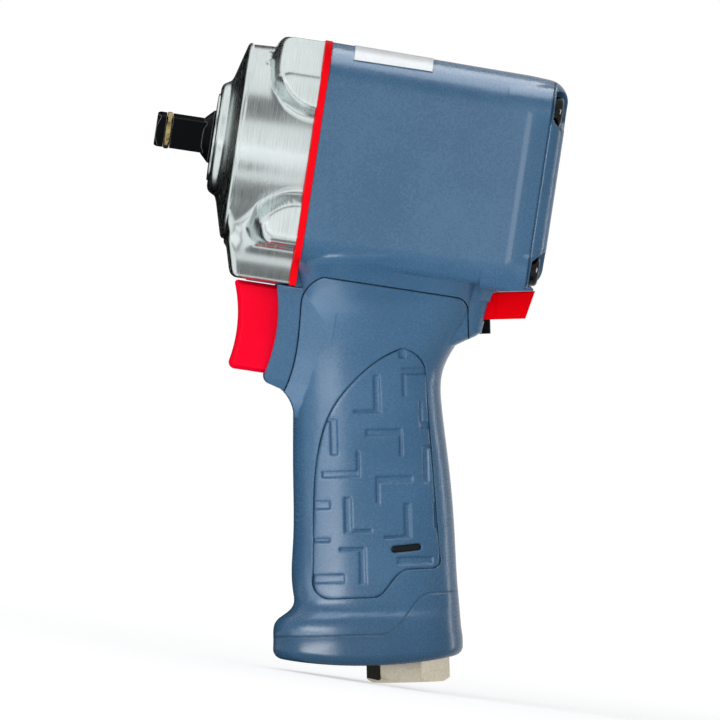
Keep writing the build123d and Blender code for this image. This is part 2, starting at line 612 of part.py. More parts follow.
# Hammer case, red gasket and nose
case = turned([(nose_x, 0), (nose_x, 15.0), (18.5, 16.6), (20.6, 17.7), (21.2, 18.6), (24.1, 29.2),
               (24.5, 29.8), (25.2, case_radius), (case_rear_x, case_radius), (case_rear_x, 0)])
flange = make_face(Polyline((-lug_half, lug_bottom), (lug_half, lug_bottom), (lug_half, lug_top - lug_chamfer),
                            (lug_half - lug_chamfer, lug_top), (lug_chamfer - lug_half, lug_top),
                            (-lug_half, lug_top - lug_chamfer), close=True))
flange = fillet(flange.vertices().group_by(Axis.Y)[0], 2.5)
prism = extrude(across(lug_front_x) * flange, amount=case_rear_x - lug_front_x)
prism = prism + extrude(across(lug_front_x) * flange, amount=-4.2, taper=40)
lugs = Part()
for side in (1, -1):
    for z, up, ear_root in ears:
        root_y = lug_half - (ear_root - ear_tip) / ear_slope
        ear_end = ear_tip - ear_slope
        near, mid, far = [Plane(origin=(case_rear_x, y * side, z), z_dir=(0, side, 0)) for y in
                          (12, root_y, lug_half + 1)]
        ear = extrude(near * Circle(ear_root), amount=root_y - 12)
        ear = ear + loft([mid * Circle(ear_root), far * Circle(ear_end)])
        post = block(25, case_rear_x, min(18 * side, 40 * side), max(18 * side, 40 * side), min(z, z + 12 * up),
                     max(z, z + 12 * up))
        lugs += prism & ((ear + post) & block(20, case_rear_x, min(12 * side, 40 * side),
                                              max(12 * side, 40 * side), -40, 40))
chin_lines = Polyline((26.2, -24), (26.2, -30.4), (27.2, -31.8), (28.0, -35), (28.9, -38.6), (30.4, chin_bottom),
                      (case_rear_x, chin_bottom), (case_rear_x, -24), close=True)
chin = side_prism(chin_lines, chin_half)
chin = fillet([e for e in chin.edges() if abs(abs(e.center().Y) - chin_half) < 0.01 and e.center().X < 31
               and e.center().Z < -31], 3.0)
case = case + lugs + chin
case = case - turned([(29.2, 0), (29.2, 14.2), (24.8, 14.2), (24.8, 18.0), (27.3, case_bore),
                      (case_rear_x + 1, case_bore), (case_rear_x + 1, 0)])
case = case - bar(nose_x - 1, bushing_start_x, seal_radius + 0.02)
case = case - bar(bushing_start_x - 1, bushing_end_x + 1, bushing_outer + 0.02)
gasket_sketch = rounded_square(33.0 + gasket_proud, 33.4 + gasket_proud, -33.0 - gasket_proud,
                               barrel_top_corner, barrel_bottom_corner)
gasket_sketch += Pos(0, -34) * Rectangle(2 * chin_half + 2 * gasket_proud, 14)
case_gasket = extrude(across(case_rear_x) * gasket_sketch, amount=gasket_thickness) - bar(40, 60, front_bore)
case_gasket = case_gasket - block(40, 60, -tongue_half - 0.3, tongue_half + 0.3, -45, chin_bottom - 0.2)
for y, z in screw_places:
    case -= bar(screw_tip_x - 1.0, case_rear_x + 1, screw_radius, y, z)
    case_gasket -= bar(40, 60, screw_radius + 0.3, y, z)
save(case, "hammer_case")
save(case_gasket, "case_gasket")
save(ring(nose_x - 0.5, bushing_start_x - 0.1, seal_radius, journal_radius + 0.4), "nose_seal")
save(ring(bushing_start_x, bushing_end_x, bushing_outer, journal_radius + slip), "nose_bushing")

# Anvil with its socket ring
square = Rectangle(drive_square, drive_square)
square = Rot(0, 0, 10) * fillet(square.vertices(), drive_corner)
anvil = extrude(across(0) * square, amount=drive_length + 2)
anvil = anvil & turned([(0, 0), (0, 4.9), (1.0, 6.3), (20, 6.3), (20, 0)])
anvil = anvil - ring(ring_groove_x, ring_groove_x + ring_groove_width, 9, ring_groove_radius)
anvil = anvil + turned([(drive_length - 1.4, 0), (drive_length, 5.6), (anvil_neck_x - 0.2, 8.0),
                        (anvil_neck_x, journal_radius), (bushing_end_x + 0.2, journal_radius),
                        (bushing_end_x + 0.2, collar_radius), (frame_front_x + frame_front_plate, collar_radius),
                        (frame_front_x + frame_front_plate, 8.0), (frame_rear_x - 0.3, 8.0),
                        (frame_rear_x - 0.3, pilot_radius), (frame_rear_x + 1.4, pilot_radius), (frame_rear_x + 1.4, 0)])
hammer_x = frame_front_x + frame_front_plate + 0.3
rear_hammer_x = hammer_x + hammer_thickness + 0.4
for x, turn in ((hammer_x + 0.3, 180), (rear_hammer_x + 0.3, 0)):
    jaw = Pos(0, jaw_radius / 2) * Rectangle(jaw_width, jaw_radius) & Circle(jaw_radius)
    anvil += extrude(across(x) * Rot(0, 0, turn) * jaw, amount=hammer_thickness - 0.6)
save(anvil, "anvil")
socket_ring = ring(ring_groove_x + 0.1, ring_groove_x + ring_groove_width - 0.1, ring_radius, 4.7)
socket_ring = socket_ring - block(0, 10, -0.6, 0.6, 0, 10)
save(fillet(socket_ring.edges().filter_by(GeomType.CIRCLE).group_by(SortBy.RADIUS)[-1], 0.5), "socket_ring")
save(ring(ring_groove_x + 0.2, ring_groove_x + ring_groove_width - 0.2, 4.68, ring_groove_radius), "socket_ring_cord")

# Twin hammers in their frame
frame_end_x = frame_rear_x + frame_rear_plate
frame = ring(frame_front_x, frame_front_x + frame_front_plate, frame_radius, collar_radius + 0.3)
frame = frame + bar(frame_rear_x, frame_end_x, frame_radius) - bar(frame_rear_x - 1, frame_rear_x + 1.6, pilot_radius + slip)
frame = frame - extrude(across(frame_rear_x) * RegularPolygon(drive_hex / 2 + slip, 6, major_radius=False), amount=10)
web = ring(frame_front_x + 1, frame_rear_x + 1, frame_radius, web_inner)
frame = frame + (web & block(20, 60, 20, 40, -14, 14)) + (web & block(20, 60, -40, -20, -14, 14))
pins = Part()
for z in (hammer_pin_circle, -hammer_pin_circle):
    frame -= bar(20, 70, hammer_pin_radius + slip, 0, z)
    pins += bar(frame_front_x, frame_end_x, hammer_pin_radius, 0, z)
save(frame, "hammer_frame")
save(pins, "hammer_pins")
hammer = Circle(hammer_radius) - Circle(13.2)
lug = make_face(Polyline((3.8, -9.2), (7.0, -8.4), (11.5, -8.0), (9.0, -14.0), (3.8, -14.0), close=True))
hammer = hammer + lug - Pos(0, hammer_pin_circle) * Circle(hammer_pin_radius + slip)
hammer = hammer - Pos(-2.5, -20.9) * Rectangle(11.4, 10)
save(extrude(across(hammer_x) * hammer, amount=hammer_thickness), "front_hammer")
save(extrude(across(rear_hammer_x) * Rot(0, 0, 180) * hammer, amount=hammer_thickness), "rear_hammer")

# Air motor
cylinder_end_x = cylinder_start_x + cylinder_length
motor_end_x = cylinder_end_x + plate_thickness
front_bearing_x = plate_start_x + 0.8
rear_bearing_x = cylinder_end_x + 0.2
bearing_width = 5.0
motor_radius = motor_bore - slip
dowel_z = 24.6
front_plate = ring(plate_start_x, cylinder_start_x, motor_radius, 10.6)
front_plate = front_plate - bar(front_bearing_x, 80, bearing_outer + 0.02) - bar(61, 80, 1.5 + slip, 0, dowel_z)
save(front_plate, "front_plate")
rear_plate = ring(cylinder_end_x, motor_end_x, motor_radius, 10.6)
rear_plate = rear_plate - bar(80, rear_bearing_x + bearing_width, bearing_outer + 0.02)
rear_plate = rear_plate - bar(80, motor_end_x - 2, 1.5 + slip, 0, dowel_z)
save(rear_plate, "rear_plate")
cylinder = bar(cylinder_start_x, cylinder_end_x, motor_radius)
cylinder = cylinder - bar(50, 110, cylinder_bore, 0, cylinder_offset) - bar(50, 110, 1.5 + slip, 0, dowel_z)
for x in (cylinder_start_x + 7, cylinder_start_x + 14, cylinder_start_x + 21):
    cylinder -= Pos(x, 0, -24) * Cylinder(2.5, 20)
save(cylinder, "cylinder")
save(bar(61.2, motor_end_x - 2.2, 1.5, 0, dowel_z), "cylinder_dowel")
rotor = bar(cylinder_start_x + 0.3, cylinder_end_x - 0.3, rotor_radius)
rotor = rotor + bar(frame_end_x + 0.2, motor_end_x - 0.3, shaft_radius)
rotor = rotor + extrude(across(frame_rear_x + 1.8) * RegularPolygon(drive_hex / 2, 6, major_radius=False), amount=8)
vanes = Part()
for step in range(vane_count):
    turn = Rot(0, 0, 360 / vane_count * step)
    slot = turn * Pos(0, 15) * Rectangle(vane_thickness + 2 * slip, 12)
    blade = turn * Pos(0, (9.1 + vane_tip) / 2) * Rectangle(vane_thickness, vane_tip - 9.1)
    rotor -= extrude(across(cylinder_start_x) * slot, amount=cylinder_length)
    vanes += extrude(across(cylinder_start_x + 0.35) * blade, amount=cylinder_length - 0.7)
save(rotor, "rotor")
save(vanes, "vanes")
for name, x in (("front_bearing", front_bearing_x), ("rear_bearing", rear_bearing_x)):
    middle = x + bearing_width / 2
    track = Pos(middle, 0, 0) * Rot(0, 90, 0) * Torus(9.0, ball_radius + slip)
    save(ring(x, x + bearing_width, bearing_outer, 10.0) - track, name + "_outer")
    save(ring(x, x + bearing_width, 8.0, shaft_radius + 0.02) - track, name + "_inner")
    balls = Part()
    for step in range(ball_count):
        angle = 2 * pi * step / ball_count
        balls += Pos(middle, 9.0 * cos(angle), 9.0 * sin(angle)) * Sphere(ball_radius)
    save(balls, name + "_balls")
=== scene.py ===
import math

import bpy
import numpy as np
from mathutils import Matrix, Vector


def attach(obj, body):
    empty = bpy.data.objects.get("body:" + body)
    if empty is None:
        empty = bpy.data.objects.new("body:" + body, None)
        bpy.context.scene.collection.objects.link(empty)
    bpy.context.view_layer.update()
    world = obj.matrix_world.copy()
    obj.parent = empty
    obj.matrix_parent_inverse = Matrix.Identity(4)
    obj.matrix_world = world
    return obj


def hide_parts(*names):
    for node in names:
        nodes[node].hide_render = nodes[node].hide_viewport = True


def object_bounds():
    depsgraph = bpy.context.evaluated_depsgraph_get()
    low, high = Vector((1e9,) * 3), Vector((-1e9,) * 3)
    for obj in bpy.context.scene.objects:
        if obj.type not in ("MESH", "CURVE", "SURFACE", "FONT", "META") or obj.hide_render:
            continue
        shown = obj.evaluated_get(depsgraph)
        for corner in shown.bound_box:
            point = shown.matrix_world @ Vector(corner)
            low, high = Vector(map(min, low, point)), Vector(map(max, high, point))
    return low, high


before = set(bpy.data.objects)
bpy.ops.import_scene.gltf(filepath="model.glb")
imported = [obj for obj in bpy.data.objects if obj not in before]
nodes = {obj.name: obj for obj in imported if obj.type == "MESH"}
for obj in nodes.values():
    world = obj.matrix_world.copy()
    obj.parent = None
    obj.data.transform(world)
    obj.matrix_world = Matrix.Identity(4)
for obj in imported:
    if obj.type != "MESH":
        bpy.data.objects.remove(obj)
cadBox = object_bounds()
mm = 0.001
print("frame loaded,", len(nodes), "nodes")


# Screen colours (0 to 255) turned into Blender's linear ones
def paint(red, green, blue):
    screen = np.array([red, green, blue]) / 255
    linear = np.where(screen <= 0.04045, screen / 12.92, ((screen + 0.055) / 1.055) ** 2.4)
    return (*linear.tolist(), 1.0)


# Adds a node, links sockets and sets plain values by input name or number
def put(tree, kind, inputs=None, **settings):
    node = tree.nodes.new(kind)
    for key, value in settings.items():
        setattr(node, key, value)
    for key, value in (inputs or {}).items():
        if isinstance(value, bpy.types.NodeSocket):
            tree.links.new(value, node.inputs[key])
        else:
            node.inputs[key].default_value = value
    return node


# Mix Color node; its colour sockets are numbers 6 and 7 in, number 2 out
def blendColour(tree, factor, first, second):
    return put(tree, "ShaderNodeMix", {0: factor, 6: first, 7: second}, data_type="RGBA").outputs[2]


# Math node by its operation; inputs may be sockets or numbers
def sums(tree, operation, *inputs):
    return put(tree, "ShaderNodeMath", dict(enumerate(inputs)), operation=operation).outputs[0]


# 1 where the camera, a reflection or a view through glass sees the surface, 0 where it only lights
def seenRays(tree):
    rays = put(tree, "ShaderNodeLightPath").outputs
    seen = sums(tree, "MAXIMUM", rays["Is Camera Ray"], rays["Is Glossy Ray"])
    return sums(tree, "MAXIMUM", seen, rays["Is Transmission Ray"])


def newGroup(name, inputs, outputs):
    tree = bpy.data.node_groups.new(name, "ShaderNodeTree")
    for label, kind, value in inputs:
        socket = tree.interface.new_socket(label, in_out="INPUT", socket_type="NodeSocket" + kind)
        if value is not None:
            socket.default_value = value
    for label, kind in outputs:
        tree.interface.new_socket(label, in_out="OUTPUT", socket_type="NodeSocket" + kind)
    return tree, tree.nodes.new("NodeGroupInput").outputs, tree.nodes.new("NodeGroupOutput").inputs


surfaceOutputs = [("Color", "Color"), ("Roughness", "Float"), ("Height", "Float")]
moulded = {
    "pebbleShare": 0.55, "driftShare": 0.45, "spread": (0.3, 0.7), "pebbleDetail": 2.0, "driftDetail": 3.0,
}
streaked = {
    "drift": 90.0, "driftShare": 0.5, "spread": (0.25, 0.75), "streakDetail": 4.0, "driftDetail": 3.0,
}
crease = {"none": 0.98, "full": 0.8, "samples": 4}  # how far the rounded normal still agrees with the flat one


# Moulded texture: fine pebbles plus a slow drift of tone
def buildMouldedGrain():
    g = moulded
    tree, given, out = newGroup(
        "mouldedGrain",
        [("Vector", "Vector", None), ("Pebbles", "Float", 1900.0), ("Drift", "Float", 45.0),
         ("Dark", "Color", None), ("Light", "Color", None), ("Smooth", "Float", 0.38),
         ("Rough", "Float", 0.55)],
        surfaceOutputs)
    pebbles = put(tree, "ShaderNodeTexNoise", {"Vector": given["Vector"], "Scale": given["Pebbles"],
                                               "Detail": g["pebbleDetail"], "Roughness": 0.55}).outputs[0]
    drift = put(tree, "ShaderNodeTexNoise", {"Vector": given["Vector"], "Scale": given["Drift"],
                                             "Detail": g["driftDetail"]}).outputs[0]
    tone = sums(tree, "MULTIPLY", pebbles, g["pebbleShare"])
    tone = sums(tree, "MULTIPLY_ADD", drift, g["driftShare"], tone)
    finishSurface(tree, given, out, tone, pebbles, g["spread"])
    return tree


# Brushed or turned metal: streaks run round the tool's X axis, noise in (x, angle) space
def buildMetalStreaks():
    g = streaked
    tree, given, out = newGroup(
        "metalStreaks",
        [("Vector", "Vector", None), ("Fine", "Float", 3000.0), ("Long", "Float", 4.0),
         ("Dark", "Color", None), ("Light", "Color", None), ("Smooth", "Float", 0.2),
         ("Rough", "Float", 0.38)],
        surfaceOutputs)
    parts = put(tree, "ShaderNodeSeparateXYZ", {0: given["Vector"]}).outputs
    angle = sums(tree, "ARCTAN2", parts[1], parts[2])
    across = sums(tree, "MULTIPLY", parts[0], given["Fine"])
    along = sums(tree, "MULTIPLY", angle, given["Long"])
    polar = put(tree, "ShaderNodeCombineXYZ", {0: across, 1: along}).outputs[0]
    streaks = put(tree, "ShaderNodeTexNoise", {"Vector": polar, "Scale": 1.0, "Detail": g["streakDetail"],
                                               "Roughness": 0.6}).outputs[0]
    drift = put(tree, "ShaderNodeTexNoise", {"Vector": given["Vector"], "Scale": g["drift"],
                                             "Detail": g["driftDetail"]}).outputs[0]
    tone = sums(tree, "MULTIPLY_ADD", drift, g["driftShare"], -g["driftShare"] / 2)
    tone = sums(tree, "ADD", tone, streaks)
    finishSurface(tree, given, out, tone, streaks, g["spread"])
    return tree


# Tone spread to 0..1 sets the colour from Dark to Light and the roughness from Smooth to Rough
def finishSurface(tree, given, out, tone, height, spread):
    low, high = spread
    level = put(tree, "ShaderNodeMapRange", {"Value": tone, "From Min": low, "From Max": high}).outputs[0]
    rough = put(tree, "ShaderNodeMapRange", {"Value": level, "To Min": given["Smooth"],
                                             "To Max": given["Rough"]})
    tree.links.new(blendColour(tree, level, given["Dark"], given["Light"]), out["Color"])
    tree.links.new(rough.outputs[0], out["Roughness"])
    tree.links.new(height, out["Height"])


# Edges catch the light: a rounded normal near creases, and a mask of where the crease is
def buildSoftEdge():
    tree, given, out = newGroup("softEdge", [("Radius", "Float", 0.0004)],
                                [("Normal", "Vector"), ("Edge", "Float")])
    rounded = put(tree, "ShaderNodeBevel", {"Radius": given["Radius"]}, samples=crease["samples"])
    flat = put(tree, "ShaderNodeNewGeometry")
    match = put(tree, "ShaderNodeVectorMath", {0: rounded.outputs[0], 1: flat.outputs["Normal"]},
                operation="DOT_PRODUCT")
    edge = put(tree, "ShaderNodeMapRange", {"Value": match.outputs["Value"], "From Min": crease["none"],
                                            "From Max": crease["full"]})
    tree.links.new(rounded.outputs[0], out["Normal"])
    tree.links.new(edge.outputs[0], out["Edge"])
    return tree


mouldedGrain = buildMouldedGrain()
metalStreaks = buildMetalStreaks()
softEdge = buildSoftEdge()
print("shader groups ready")


# One finish: a surface group for colour, roughness and height, the soft edge, and the shader's own sockets
def newFinish(name, look):
    material = bpy.data.materials.new(name)
    material.use_nodes = True
    tree = material.node_tree
    shader = tree.nodes["Principled BSDF"]
    place = put(tree, "ShaderNodeTexCoord").outputs["Object"]
    surface = put(tree, "ShaderNodeGroup", node_tree=look["surface"])
    tree.links.new(place, surface.inputs["Vector"])
    for key, value in look["values"].items():
        surface.inputs[key].default_value = value
    edge = put(tree, "ShaderNodeGroup", node_tree=softEdge)
    edge.inputs["Radius"].default_value = look["edge"] * mm
    colour = surface.outputs["Color"]
    # Colour blended in along the edges: a painted highlight on black oxide, brass on the nickel chamfers, the
    # dark border on the label
    if "edgeTintAndHighlight" in look:
        colour = blendColour(tree, edge.outputs["Edge"], colour, look["edgeTintAndHighlight"])
    bump = put(tree, "ShaderNodeBump",
               {"Strength": look["bump"], "Distance": look["depth"] * mm,
                "Height": surface.outputs["Height"], "Normal": edge.outputs["Normal"]})
    tree.links.new(colour, shader.inputs["Base Color"])
    tree.links.new(surface.outputs["Roughness"], shader.inputs["Roughness"])
    tree.links.new(bump.outputs[0], shader.inputs["Normal"])
    for key, value in look["shader"].items():
        shader.inputs[key].default_value = value
    return material


finishes = {
    "slatePlastic": {
        "surface": mouldedGrain, "edge": 0.8, "bump": 0.4, "depth": 0.05,
        "values": {"Pebbles": 1900.0, "Dark": paint(52, 89, 121), "Light": paint(66, 105, 138),
                   "Smooth": 0.22, "Rough": 0.32},
        "shader": {"Specular IOR Level": 0.2}},
    "slateRubber": {
        "surface": mouldedGrain, "edge": 0.8, "bump": 0.5, "depth": 0.06,
        "values": {"Pebbles": 1700.0, "Dark": paint(52, 89, 121), "Light": paint(66, 105, 138),
                   "Smooth": 0.22, "Rough": 0.32},
        "shader": {"Specular IOR Level": 0.2}},
    "redPlastic": {
        "surface": mouldedGrain, "edge": 0.6, "bump": 0.15, "depth": 0.06,
        "values": {"Pebbles": 1400.0, "Dark": paint(240, 0, 10), "Light": paint(252, 0, 18),
                   "Smooth": 0.26, "Rough": 0.38},
        "shader": {"Specular IOR Level": 0.01}},
    "triggerRed": {
        "surface": mouldedGrain, "edge": 0.6, "bump": 0.15, "depth": 0.06,
        "values": {"Pebbles": 1400.0, "Dark": paint(238, 0, 34), "Light": paint(252, 4, 48),
                   "Smooth": 0.26, "Rough": 0.38},
        "shader": {"Specular IOR Level": 0.02}},
    "redGasket": {
        "surface": mouldedGrain, "edge": 0.25, "bump": 0.1, "depth": 0.05,
        "values": {"Pebbles": 1700.0, "Dark": paint(236, 0, 14), "Light": paint(250, 4, 26),
                   "Smooth": 0.42, "Rough": 0.55},
        "shader": {"Specular IOR Level": 0.05}},
    "castSilver": {
        "surface": metalStreaks, "edge": 0.6, "bump": 0.05, "depth": 0.04,
        "values": {"Fine": 4600.0, "Long": 3.0, "Dark": paint(198, 208, 207), "Light": paint(224, 233, 232),
                   "Smooth": 0.18, "Rough": 0.30},
        "shader": {"Metallic": 1.0}},
    "blackOxide": {
        # Black oxide: its light grey edge colour is a painted highlight, standing in for the light lines its
        # rounded edges catch
        "surface": mouldedGrain, "edge": 0.35, "bump": 0.1, "depth": 0.04, "edgeTintAndHighlight": paint(150, 154, 158),
        "values": {"Pebbles": 1800.0, "Dark": paint(5, 6, 8), "Light": paint(10, 12, 14),
                   "Smooth": 0.18, "Rough": 0.30},
        "shader": {"Specular IOR Level": 0.04}},
    "screwBlack": {
        "surface": mouldedGrain, "edge": 0.6, "bump": 0.05, "depth": 0.03,
        "values": {"Pebbles": 1500.0, "Dark": paint(4, 5, 6), "Light": paint(8, 9, 11),
                   "Smooth": 0.12, "Rough": 0.20},
        "shader": {"Specular IOR Level": 0.2}},
    "goldRing": {
        "surface": metalStreaks, "edge": 0.2, "bump": 0.1, "depth": 0.03,
        "values": {"Fine": 1500.0, "Long": 8.0, "Dark": paint(128, 110, 66), "Light": paint(190, 172, 120),
                   "Smooth": 0.20, "Rough": 0.34},
        "shader": {"Metallic": 1.0}},
    "nickel": {
        "surface": mouldedGrain, "edge": 0.5, "bump": 0.06, "depth": 0.04, "edgeTintAndHighlight": paint(236, 214, 160),
        "values": {"Pebbles": 900.0, "Dark": paint(176, 168, 150), "Light": paint(204, 197, 180),
                   "Smooth": 0.20, "Rough": 0.30},
        "shader": {"Metallic": 1.0}},
    "groundSteel": {
        "surface": metalStreaks, "edge": 0.3, "bump": 0.1, "depth": 0.04,
        "values": {"Fine": 1800.0, "Long": 6.0, "Dark": paint(158, 161, 163), "Light": paint(196, 198, 199),
                   "Smooth": 0.22, "Rough": 0.36},
        "shader": {"Metallic": 1.0}},
    "bronze": {
        "surface": metalStreaks, "edge": 0.3, "bump": 0.1, "depth": 0.05,
        "values": {"Fine": 1500.0, "Long": 7.0, "Dark": paint(156, 116, 66), "Light": paint(196, 156, 98),
                   "Smooth": 0.28, "Rough": 0.42},
        "shader": {"Metallic": 1.0}},
    "blackRubber": {
        "surface": mouldedGrain, "edge": 0.3, "bump": 0.3, "depth": 0.08,
        "values": {"Pebbles": 1300.0, "Dark": paint(22, 22, 24), "Light": paint(34, 34, 36),
                   "Smooth": 0.5, "Rough": 0.68},
        "shader": {"Specular IOR Level": 0.35}},
    "whitePlate": {
        "surface": mouldedGrain, "edge": 0.35, "bump": 0.05, "depth": 0.03, "edgeTintAndHighlight": paint(96, 108, 120),
        "values": {"Pebbles": 900.0, "Dark": paint(214, 220, 223), "Light": paint(226, 231, 234),
                   "Smooth": 0.28, "Rough": 0.36},
        "shader": {"Specular IOR Level": 0.15}},
    "felt": {
        "surface": mouldedGrain, "edge": 0.6, "bump": 0.8, "depth": 0.3,
        "values": {"Pebbles": 900.0, "Dark": paint(110, 110, 106), "Light": paint(158, 157, 150),
                   "Smooth": 0.85, "Rough": 0.95},
        "shader": {"Specular IOR Level": 0.2}},
    "vaneFibre": {
        "surface": mouldedGrain, "edge": 0.2, "bump": 0.2, "depth": 0.06,
        "values": {"Pebbles": 700.0, "Dark": paint(112, 74, 42), "Light": paint(152, 108, 68),
                   "Smooth": 0.45, "Rough": 0.6},
        "shader": {"Specular IOR Level": 0.4}},
}
materials = {name: newFinish(name, look) for name, look in finishes.items()}

nodeFinish = {
    "slatePlastic": ["motor_housing", "rear_cover", "base_cap"],
    "slateRubber": ["grip_sleeve", "grip_pad_left", "grip_pad_right", "rear_gasket"],
    "redPlastic": ["reverse_lever"],
    "triggerRed": ["trigger"],
    "redGasket": ["case_gasket"],
    "castSilver": ["hammer_case", "nose_seal"],
    "blackOxide": ["anvil", "reverse_pivot"],
    "screwBlack": ["case_screws", "lock_keys"],
    "goldRing": ["socket_ring"],
    "nickel": ["inlet_bushing"],
    "groundSteel": ["hammer_frame", "front_hammer", "rear_hammer", "hammer_pins", "front_plate", "cylinder",
                    "rear_plate", "cylinder_dowel", "rotor", "front_bearing_outer", "front_bearing_inner",
                    "front_bearing_balls", "rear_bearing_outer", "rear_bearing_inner", "rear_bearing_balls",
                    "trigger_rod", "trigger_pin", "throttle_spring", "inlet_screen", "reverse_sleeve"],
    "bronze": ["nose_bushing", "trigger_bushing", "throttle_valve", "throttle_seat", "spring_retainer",
               "reverse_valve"],
    "blackRubber": ["inlet_seal", "socket_ring_cord"],
    "whitePlate": ["label_plate"],
    "felt": ["muffler"],
    "vaneFibre": ["vanes"],
}
for finishName, nodeNames in nodeFinish.items():
    for nodeName in nodeNames:
        nodes[nodeName].data.materials.clear()
        nodes[nodeName].data.materials.append(materials[finishName])
print("finishes on", sum(len(names) for names in nodeFinish.values()), "nodes")


# A mesh from a grid of points (rows by columns), closed round the columns when wrap is set
def gridMesh(name, points, wrap=False):
    rows, columns = points.shape[:2]
    index = np.arange(rows * columns).reshape(rows, columns)
    right = np.roll(index, -1, axis=1)
    keep = columns if wrap else columns - 1
    quads = np.stack([index[:-1], right[:-1], right[1:], index[1:]], axis=-1)[:, :keep].reshape(-1, 4)
    mesh = bpy.data.meshes.new(name)
    mesh.from_pydata(points.reshape(-1, 3).tolist(), [], quads.tolist())
    mesh.shade_smooth()
    piece = bpy.data.objects.new(name, mesh)
    bpy.context.scene.collection.objects.link(piece)
    return piece


# Round both ways: the smaller (or larger) of two fields, blended over a distance k
def roundMin(a, b, k):
    h = np.clip(0.5 + 0.5 * (b - a) / k, 0, 1)
    return b + (a - b) * h - k * h * (1 - h)


def roundMax(a, b, k):
    return -roundMin(-a, -b, k)


hammerCase = {
    "nose": [(17.9, 13.3), (17.9, 15.1), (18.15, 15.9), (18.7, 16.6), (20.3, 17.5), (20.65, 17.8),
             (20.9, 18.3), (21.3, 19.3), (23.95, 28.9), (24.2, 29.45), (24.6, 29.85), (25.3, 30.0)],
    "radius": 30.0, "rear": 46.6, "skinStart": 25.5, "noseStep": 0.5,
    "inside": [(46.6, 25.9), (27.4, 25.9), (24.9, 18.1), (24.9, 14.3), (29.0, 14.3), (29.0, 10.6),
               (20.55, 10.6), (20.55, 13.3)],
    "belly": 0.0018, "bellyEnd": 41.0,
    "lugHalf": 33.0, "lugTop": 33.2, "lugBottom": -29.6, "lugChamfer": 11.0, "lugFront": 29.9,
    "lugTaper": 1.9, "lugInner": 12.0, "lugInnerEdge": 1.0, "lugSole": 3.5, "rampEdge": 2.4,
    "ears": [(24.8, 1, 15.0), (-28.8, -1, 15.2)],  # height, way up or down, radius at the root
    "earTip": 12.1, "earSlope": 0.57, "earScale": 0.87,
    "postDepth": 12.0, "postInner": 18.0, "postEdge": 0.5,
    "chinHalf": 19.0, "chinCurve": 0.030, "chinCurveStart": -30.0, "chinTop": -20.0, "chinBottom": -41.0,
    "chinFront": 26.2, "chinLean": 0.27, "chinBreak": -30.4, "chinSole": 1.2, "chinFrontEdge": 2.4,
    "fillet": 2.2, "chinFillet": 5.0, "edge": 0.8,
    "columns": 540, "rowStep": 0.22, "ladder": (29.0, 48.0), "rung": 0.1,
}


# The cast case's skin as a field, negative inside: cylinder, four lugs cut by cones, and the chin
def caseField(x, y, z):
    c = hammerCase
    away = np.hypot(y, z)
    body = away - c["radius"] + c["belly"] * np.square(np.maximum(0, c["bellyEnd"] - x))
    side = np.abs(y)
    prism = roundMax(side - c["lugHalf"], z - c["lugTop"], c["edge"])
    corner = side + z - c["lugHalf"] - c["lugTop"] + c["lugChamfer"]
    prism = roundMax(prism, corner * math.sqrt(0.5), c["edge"])
    prism = roundMax(prism, c["lugBottom"] - z, c["lugSole"])
    ramp = away - c["radius"] - c["lugTaper"] * (x - c["lugFront"])
    prism = roundMax(prism, ramp / math.hypot(1, c["lugTaper"]), c["rampEdge"])
    ears = []
    for height, way, root in c["ears"]:
        reach = np.minimum(root, c["earTip"] + c["earSlope"] * (c["lugHalf"] - side))
        ear = (np.hypot(x - c["rear"], z - height) - reach) * c["earScale"]
        post = np.maximum(way * (height - z), way * (z - height) - c["postDepth"])
        post = np.maximum(post, c["postInner"] - side)
        ears.append(roundMin(ear, post, c["postEdge"]))
    lugs = roundMax(prism, np.minimum(*ears), c["edge"])
    lugs = roundMax(lugs, c["lugInner"] - side, c["lugInnerEdge"])
    lean = c["chinFront"] + c["chinLean"] * np.maximum(0, c["chinBreak"] - z) - x
    narrowing = c["chinCurve"] * np.square(np.maximum(0, c["chinCurveStart"] - z))
    flank = side - c["chinHalf"] + narrowing
    chin = roundMax(flank, c["chinBottom"] - z, c["chinSole"])
    chin = roundMax(chin, lean, c["chinFrontEdge"])
    chin = np.maximum(chin, z - c["chinTop"])
    return roundMin(roundMin(body, lugs, c["fillet"]), chin, c["chinFillet"])


# Distance run along a path up to each of its points
def runLength(path):
    return np.concatenate([[0], np.cumsum(np.hypot(*np.diff(path, axis=0).T))])


